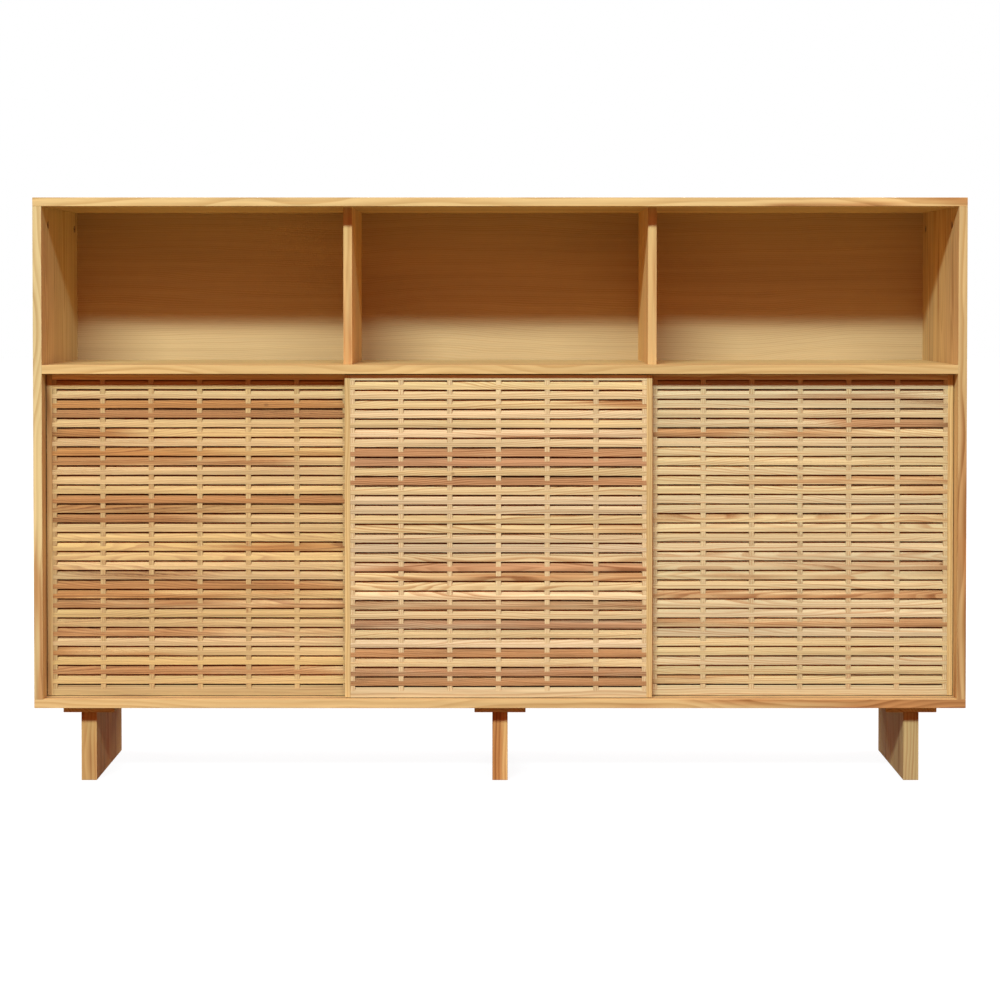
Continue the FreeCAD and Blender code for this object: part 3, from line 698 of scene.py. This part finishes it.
def fitting(name, colour, metal, rough, grit):
    """Makes a moulded or cast finish: two clouds of different size stir colour, gloss and a fine bump.

    Both clouds are counted from one half, so that the colour and the roughness keep their means.
    """
    material, tree = new_material(name)
    place = add(tree, "ShaderNodeTexCoord").outputs["Object"]
    wide = clouds(tree, place, FITTING_CLOUDS, detail=2.0).outputs[0]
    fine = clouds(tree, place, (grit, grit, grit), detail=2.0, roughness=0.6).outputs[0]
    tone = stir(tree, wide, FITTING_TONES["wide"], stir(tree, fine, FITTING_TONES["fine"], 1.0))
    tinted = add(tree, "ShaderNodeVectorMath", {0: tuple(colour), "Scale": tone}, operation="SCALE")
    gloss = stir(tree, fine, FITTING_ROUGHNESS["fine"], rough)
    gloss = stir(tree, wide, FITTING_ROUGHNESS["wide"], gloss)
    close_material(tree, tinted.outputs[0], gloss, fine, FITTING_RELIEF, Metallic=metal)
    return material


def paint(node, material):
    """Puts one material in every slot of a CAD node."""
    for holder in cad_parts[node].material_slots:
        holder.material = material


def middle_of(node):
    """Gives the centre of a CAD node's box."""
    low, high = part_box(node)
    return tuple((low + high) / 2)


def paint_board(wood, row, seed, cut, ring, gloss):
    """Gives one solid board of a table its own pine, with staves that share its width."""
    node, order, staves, heart, lean_and_falloff_shade, bright, grey, painted_edge_light, edge_heart_and_slot_shade = row
    low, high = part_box(node)
    width = (high - low)["XYZ".index(order[1])]
    finish = pine(f"{node}_pine", wood, cut, order, middle_of(node), width / staves, heart, seed, lean_and_falloff_shade,
                  bright, grey, painted_edge_light, edge_heart_and_slot_shade, ring, gloss=gloss)
    paint(node, finish)


def rounded_outline(corners, radius, steps):
    """Rounds the corners of an outline.

    Each corner becomes an arc that touches both of its edges. The arc's centre lies on the corner's bisector
    at the radius divided by the sine of the half angle, and the arc turns from one touching point to the
    other by the sine rule for even turning.
    """
    corners = np.asarray(corners, float)
    before = np.roll(corners, 1, axis=0) - corners
    after = np.roll(corners, -1, axis=0) - corners
    before /= np.linalg.norm(before, axis=1, keepdims=True)
    after /= np.linalg.norm(after, axis=1, keepdims=True)
    half = np.arccos(np.clip((before * after).sum(axis=1), -1.0, 1.0))[:, None] / 2.0
    bisector = before + after
    bisector /= np.linalg.norm(bisector, axis=1, keepdims=True)
    centre = corners + bisector * radius / np.sin(half)
    start = corners + before * radius / np.tan(half) - centre
    finish = corners + after * radius / np.tan(half) - centre
    turn = (math.pi - 2.0 * half)[:, :, None]
    share = np.linspace(0.0, 1.0, steps)[None, :, None]
    arcs = np.sin((1.0 - share) * turn) * start[:, None] + np.sin(share * turn) * finish[:, None]
    return (centre[:, None] + arcs / np.sin(turn)).reshape(-1, 2)


def swept_mesh(name, points):
    """Makes a mesh of closed bars from an array (bar, station, outline point, 3).

    Quads join each outline to the next along its bar, and the first and last outlines close its ends.
    """
    bars, stations, count, _ = points.shape
    index = np.arange(bars * stations * count).reshape(bars, stations, count)
    beside = np.roll(index, -1, axis=2)
    quads = np.stack((index[:, :-1], beside[:, :-1], beside[:, 1:], index[:, 1:]), axis=-1).reshape(-1, 4)
    ends = np.concatenate((index[:, 0, ::-1], index[:, -1]))
    mesh = bpy.data.meshes.new(name)
    mesh.from_pydata(points.reshape(-1, 3).tolist(), [], quads.tolist() + ends.tolist())
    mesh.update()
    return mesh


def mark(mesh, name, values):
    """Stores one number for each vertex in a named mesh attribute."""
    layer = mesh.attributes.new(name, "FLOAT", "POINT")
    layer.data.foreach_set("value", np.ascontiguousarray(values, np.float32).ravel())


def place_piece(name, mesh, material, body, node):
    """Puts a finished mesh in the scene in place of a CAD node."""
    mesh.materials.append(material)
    piece = bpy.data.objects.new(name, mesh)
    bpy.context.scene.collection.objects.link(piece)
    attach(piece, body)
    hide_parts(node)
    return piece


def slat_levels(door, doors):
    """Gives the lower edge of each slat and one slat's height.

    The slots' middles stand evenly between the CAD rails, and each slat fills what two slots leave.
    """
    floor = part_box(f"{door}_bottom_rail")[1].z
    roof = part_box(f"{door}_top_rail")[0].z
    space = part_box(f"{door}_slats")[0].z - floor
    pitch = (roof - floor - space) / doors.rows
    first = floor + (space + doors.gap) / 2
    return first + np.arange(doors.rows) * pitch, pitch - doors.gap


class HUTCH_OT_carcass(bpy.types.Operator):
    """Gives each carcass board its own stave-glued pine."""

    bl_idname = "hutch.carcass"
    bl_label = "Carcass Boards"

    def execute(self, context):
        wood = context.scene.hutch_wood
        for seed, row in enumerate(CARCASS_BOARDS):
            paint_board(wood, row, seed + CARCASS_SEED, "board", ring=1.0, gloss=0.04)
        return {"FINISHED"}


class HUTCH_OT_back(bpy.types.Operator):
    """Gives the two thin back panels their straight fine lines."""

    bl_idname = "hutch.back"
    bl_label = "Back Panels"

    def execute(self, context):
        wood = context.scene.hutch_wood
        for seed, node in enumerate(("upper_back_panel", "lower_back_panel")):
            finish = pine(f"{node}_pine", wood, "back", "XZY", middle_of(node), heart=0.08,
                          seed=seed + BACK_SEED, ring=0.5, pith=0.5)
            paint(node, finish)
        return {"FINISHED"}


class HUTCH_OT_legs(bpy.types.Operator):
    """Gives the legs and their plates upright and lengthwise pine."""

    bl_idname = "hutch.legs"
    bl_label = "Legs"

    def execute(self, context):
        wood = context.scene.hutch_wood
        for seed, row in enumerate(LEG_BOARDS):
            paint_board(wood, row, seed + LEG_SEED, "leg", ring=0.7, gloss=0.01)
        return {"FINISHED"}


class HUTCH_OT_door_frames(bpy.types.Operator):
    """Gives the stiles and rails of the sliding doors their pine."""

    bl_idname = "hutch.door_frames"
    bl_label = "Door Frames"

    def execute(self, context):
        wood = context.scene.hutch_wood
        for number, door in enumerate(DOORS):
            for count, (piece, order, hearts, brights) in enumerate(FRAME_PIECES):
                node = f"{door}_{piece}"
                cut = "stile" if piece.endswith("stile") else f"{door}_rail"
                seed = FRAME_SEED + len(FRAME_PIECES) * number + count
                finish = pine(f"{node}_pine", wood, cut, order, middle_of(node), heart=hearts[number],
                              seed=seed, bright=brights[number], ring=0.6, pith=0.05, slope=0.006)
                paint(node, finish)
        return {"FINISHED"}


class HUTCH_OT_slats(bpy.types.Operator):
    """Makes the bevelled slats of the three doors.

    A slat is its rounded outline carried along the door. Two slow sine waves, drawn for each slat, let its
    line stray a little from straight.
    """

    bl_idname = "hutch.slats"
    bl_label = "Slats"

    def execute(self, context):
        wood, doors = context.scene.hutch_wood, context.scene.hutch_doors
        for number, door in enumerate(DOORS):
            chance = np.random.default_rng(SLAT_DRAWS + number)
            node = f"{door}_slats"
            low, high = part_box(node)
            levels, height = slat_levels(door, doors)
            corners = [(0.0, 0.0), (doors.slat_depth, 0.0), (doors.slat_depth, height + doors.rise),
                       (doors.bevel, height), (0.0, doors.face)]
            outline = rounded_outline(corners, doors.edge, CORNER_POINTS)
            share = np.linspace(-1.0, 1.0, SLAT_STATIONS)
            swing = chance.uniform(0.0, 2.0 * math.pi, (2, doors.rows, 1))
            pace = chance.uniform(*SLAT_WAVES, (2, doors.rows, 1))
            stray = doors.wander * np.sin(pace * share * math.pi + swing) * (1.0 - share ** 2)
            points = np.empty((doors.rows, share.size, len(outline), 3))
            points[..., 0] = ((low.x + high.x) / 2 + share * (high.x - low.x) / 2)[None, :, None]
            points[..., 1] = low.y + outline[:, 0] + np.abs(stray[0])[:, :, None]
            points[..., 2] = levels[:, None, None] + outline[:, 1] + stray[1][:, :, None]
            mesh = swept_mesh(f"{door}_slat_bars", points)
            least, most, growth_and_falloff_shade = PLAIN_ROWS[door]
            heart = np.stack((chance.uniform(least, most, doors.rows), np.full(doors.rows, growth_and_falloff_shade)), axis=1)
            for row, value in HEART_ROWS[door].items():
                heart[row] = value
            shape = points.shape[:3]
            seeds = np.arange(doors.rows) + SLAT_SEED + SLAT_SEED_STEP * number
            mark(mesh, "row_seed", np.broadcast_to(seeds[:, None, None], shape))
            # The growth along each slat is partly painted shade, darker towards the outer end of the left and
            # right doors.
            heart_and_falloff_shade = heart[:, :1] + heart[:, 1:] * share
            mark(mesh, "row_heart_and_falloff_shade", np.broadcast_to(heart_and_falloff_shade[:, :, None], shape))
            # Painted light and shade: the tops and undersides of the slats, inside the slots, are made
            # lighter and redder, so that the shaded slots show warm brown.
            finish = pine(f"{door}_slat_pine", wood, door, "XZY", middle_of(node), painted_edge_light=0.45, edge_heart_and_slot_shade=0.6,
                          ring=0.5, pith=0.06, slope=0.09, rows=True)
            place_piece(f"{door}_slat_bars", mesh, finish, door, node)
        return {"FINISHED"}


class HUTCH_OT_battens(bpy.types.Operator):
    """Makes the toothed battens behind the slats.

    A batten is a comb outline carried across its width: a straight back, and at each slat a notch that
    follows the slat's bevel, so that a tooth fills the slot above it.
    """

    bl_idname = "hutch.battens"
    bl_label = "Battens"

    def execute(self, context):
        wood, doors = context.scene.hutch_wood, context.scene.hutch_doors
        for number, door in enumerate(DOORS):
            node = f"{door}_battens"
            bright, heart = BATTENS[door]
            low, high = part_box(node)
            levels, height = slat_levels(door, doors)
            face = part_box(f"{door}_slats")[0].y
            drop = (height - doors.face) * (1.0 - doors.setback / doors.bevel)
            tops = np.concatenate(([low.z + drop], levels + height))
            seat, shelf, tooth = doors.slat_depth, doors.bevel, doors.setback
            depths = np.tile([seat, shelf, tooth, tooth, seat], tops.size)[1:-1]
            heights = (tops[:, None] + np.array([doors.rise, 0.0, -drop, doors.gap, doors.gap])).ravel()[1:-1]
            heights[-1] = high.z
            depths = np.concatenate(([high.y - face], depths, [high.y - face]))
            heights = np.concatenate(([low.z + drop], heights, [high.z]))
            inner = doors.columns - 1
            column = (high.x - low.x - 2.0 * doors.end_batten - inner * doors.batten) / doors.columns
            lefts = low.x + doors.end_batten + column + np.arange(inner) * (column + doors.batten)
            lefts = np.concatenate(([low.x], lefts, [high.x - doors.end_batten]))
            widths = np.concatenate(([doors.end_batten], np.full(inner, doors.batten), [doors.end_batten]))
            points = np.empty((lefts.size, 2, depths.size, 3))
            points[..., 0] = np.stack((lefts, lefts + widths), axis=1)[:, :, None]
            points[..., 1] = face + depths
            points[..., 2] = heights
            mesh = swept_mesh(f"{door}_batten_combs", points)
            shape = points.shape[:3]
            seeds = np.arange(lefts.size) + BATTEN_SEED + BATTEN_SEED_STEP * number
            mark(mesh, "row_seed", np.broadcast_to(seeds[:, None, None], shape))
            mark(mesh, "row_heart_and_falloff_shade", np.full(shape, heart))
            finish = pine(f"{door}_batten_pine", wood, f"{door}_rail", "ZXY", middle_of(node),
                          bright=bright, ring=0.5, rows=True)
            piece = place_piece(f"{door}_batten_combs", mesh, finish, door, node)
            eased = piece.modifiers.new("eased_edges", "BEVEL")
            eased.width = EASE_WIDTH
            eased.segments = EASE_SEGMENTS
            eased.limit_method = "ANGLE"
            eased.angle_limit = EASE_ANGLE
        return {"FINISHED"}


class HUTCH_OT_fittings(bpy.types.Operator):
    """Gives the fasteners, tracks, rollers, pins and dowels their finishes."""

    bl_idname = "hutch.fittings"
    bl_label = "Fittings"

    def execute(self, context):
        wood, fittings = context.scene.hutch_wood, context.scene.hutch_fittings
        cam = fitting("cast_cam", fittings.cam, metal=0.85, rough=0.46, grit=900.0)
        steel = fitting("plated_screw", fittings.steel, metal=1.0, rough=0.34, grit=1500.0)
        track = fitting("moulded_track", fittings.track, metal=0.0, rough=0.46, grit=700.0)
        roller = fitting("moulded_roller", fittings.roller, metal=0.0, rough=0.42, grit=700.0)
        for node in ("cam_locks", "cam_bolts", "shelf_pins"):
            paint(node, cam)
        for node in ("back_panel_screws", "leg_plate_screws", "leg_screws"):
            paint(node, steel)
        for node in ("upper_tracks", "lower_tracks"):
            paint(node, track)
        for door in DOORS:
            paint(f"{door}_top_guides", track)
            paint(f"{door}_roller_housings", track)
            paint(f"{door}_left_roller", roller)
            paint(f"{door}_right_roller", roller)
        dowel = pine("turned_dowel", wood, "dowel", "XYZ", (0.0, 0.0, 0.0), heart=0.2, seed=DOWEL_SEED,
                     ring=0.4)
        paint("dowels", dowel)
        return {"FINISHED"}


class HUTCH_OT_stage(bpy.types.Operator):
    """Makes the floor, the surroundings, the lamps and the camera."""

    bl_idname = "hutch.stage"
    bl_label = "Stage"

    def seen(self, tree):
        """Gives 1 for rays of the camera, of gloss and of glass, and 0 for the rest."""
        path = add(tree, "ShaderNodeLightPath")
        gloss = calc(tree, "MAXIMUM", path.outputs["Is Glossy Ray"], path.outputs["Is Transmission Ray"])
        return calc(tree, "MAXIMUM", path.outputs["Is Camera Ray"], gloss)

    def make_floor(self, context, stage):
        """Makes the pale floor, whose glow rises to white away from the object."""
        mesh = bpy.data.meshes.new("studio_floor")
        reach = stage.floor_reach
        corners = [(-reach, -reach, 0.0), (reach, -reach, 0.0), (reach, reach, 0.0), (-reach, reach, 0.0)]
        mesh.from_pydata(corners, [], [(0, 1, 2, 3)])
        material, tree = new_material("studio_floor_paint")
        place = add(tree, "ShaderNodeTexCoord").outputs["Object"]
        away = add(tree, "ShaderNodeVectorMath", {0: place}, operation="LENGTH").outputs["Value"]
        level = spread(tree, ramp(tree, away, stage.glow_near, stage.glow_far), stage.floor_glow, 1.0)
        glow = add(tree, "ShaderNodeEmission", {"Strength": calc(tree, "MULTIPLY", self.seen(tree), level)})
        shade = blend(tree, self.seen(tree), opaque(stage.floor_bounce), opaque(stage.floor))
        paper = add(tree, "ShaderNodeBsdfDiffuse", {"Color": shade})
        both = add(tree, "ShaderNodeAddShader", {0: glow.outputs[0], 1: paper.outputs[0]})
        add(tree, "ShaderNodeOutputMaterial", {"Surface": both.outputs[0]})
        mesh.materials.append(material)
        floor = bpy.data.objects.new("studio_floor", mesh)
        context.scene.collection.objects.link(floor)

    def make_world(self, context, stage):
        """Makes surroundings that look white and light the object with the room's own colour."""
        world = bpy.data.worlds.new("studio_world")
        world.use_nodes = True
        tree = world.node_tree
        tree.nodes.clear()
        colour = blend(tree, self.seen(tree), opaque(stage.ambient), WHITE)
        sky = add(tree, "ShaderNodeBackground", {"Color": colour, "Strength": 1.0})
        add(tree, "ShaderNodeOutputWorld", {"Surface": sky.outputs[0]})
        context.scene.world = world

    def make_lamp(self, context, name, place, aim, power, size):
        """Makes one flat lamp of a width and a height at a place that looks at another."""
        data = bpy.data.lights.new(name, "AREA")
        data.shape = "RECTANGLE"
        data.size, data.size_y = size
        data.energy = power
        data.color = context.scene.hutch_stage.lamp_colour
        lamp = bpy.data.objects.new(name, data)
        context.scene.collection.objects.link(lamp)
        lamp.location = place
        lamp.rotation_mode = "QUATERNION"
        lamp.rotation_quaternion = (aim - place).to_track_quat("-Z", "Y")

    def make_camera(self, context, stage):
        """Makes the camera and gives it to the scene."""
        data = bpy.data.cameras.new("studio_camera")
        data.sensor_width = stage.sensor
        data.lens = stage.lens
        data.shift_y = stage.shift
        camera = bpy.data.objects.new("studio_camera", data)
        context.scene.collection.objects.link(camera)
        camera.location = stage.camera_place
        camera.rotation_euler = (math.radians(90.0) - stage.camera_tilt, 0.0, 0.0)
        context.scene.camera = camera

    def execute(self, context):
        stage = context.scene.hutch_stage
        context.scene.view_settings.view_transform = "Standard"
        self.make_floor(context, stage)
        self.make_world(context, stage)
        strip = (stage.strip_width, stage.strip_height)
        self.make_lamp(context, "key_lamp", stage.key_place, stage.front_aim, stage.key_power, strip)
        self.make_lamp(context, "fill_lamp", stage.fill_place, stage.front_aim, stage.fill_power, strip)
        square = (stage.side_size, stage.side_size)
        for name, side in (("left_lamp", -1.0), ("right_lamp", 1.0)):
            mirror = Vector((side, 1.0, 1.0))
            place = stage.side_place * mirror
            aim = stage.side_aim * mirror
            self.make_lamp(context, name, place, aim, stage.side_power, square)
        bar = (stage.back_width, stage.back_height)
        self.make_lamp(context, "back_lamp", stage.back_place, stage.back_aim, stage.back_power, bar)
        self.make_camera(context, stage)
        return {"FINISHED"}


OPERATORS = (
    HUTCH_OT_carcass, HUTCH_OT_back, HUTCH_OT_legs, HUTCH_OT_door_frames, HUTCH_OT_slats, HUTCH_OT_battens,
    HUTCH_OT_fittings, HUTCH_OT_stage,
)
SETTINGS = {
    "hutch_wood": HutchWood,
    "hutch_doors": HutchDoors,
    "hutch_fittings": HutchFittings,
    "hutch_stage": HutchStage,
}


class HUTCH_PT_panel(bpy.types.Panel):
    """Lists the steps that dress the sideboard."""

    bl_idname = "HUTCH_PT_panel"
    bl_label = "Slatted Sideboard"
    bl_space_type = "VIEW_3D"
    bl_region_type = "UI"
    bl_category = "Sideboard"

    def draw(self, context):
        for operator in OPERATORS:
            self.layout.operator(operator.bl_idname)
        for name, group in SETTINGS.items():
            box = self.layout.box()
            for key in group.__annotations__:
                box.prop(getattr(context.scene, name), key)


def register():
    """Registers the classes and hangs the settings on the scene."""
    for group in (*SETTINGS.values(), *OPERATORS, HUTCH_PT_panel):
        bpy.utils.register_class(group)
    for name, group in SETTINGS.items():
        setattr(bpy.types.Scene, name, bpy.props.PointerProperty(type=group))


def unregister():
    """Takes the settings off the scene and unregisters the classes."""
    for name in SETTINGS:
        delattr(bpy.types.Scene, name)
    for group in (HUTCH_PT_panel, *reversed(OPERATORS), *SETTINGS.values()):
        bpy.utils.unregister_class(group)


def main():
    """Dresses the sideboard step by step."""
    register()
    bpy.ops.hutch.carcass()
    bpy.ops.hutch.back()
    bpy.ops.hutch.legs()
    bpy.ops.hutch.door_frames()
    bpy.ops.hutch.slats()
    bpy.ops.hutch.battens()
    bpy.ops.hutch.fittings()
    bpy.ops.hutch.stage()


if __name__ == "__main__":
    main()
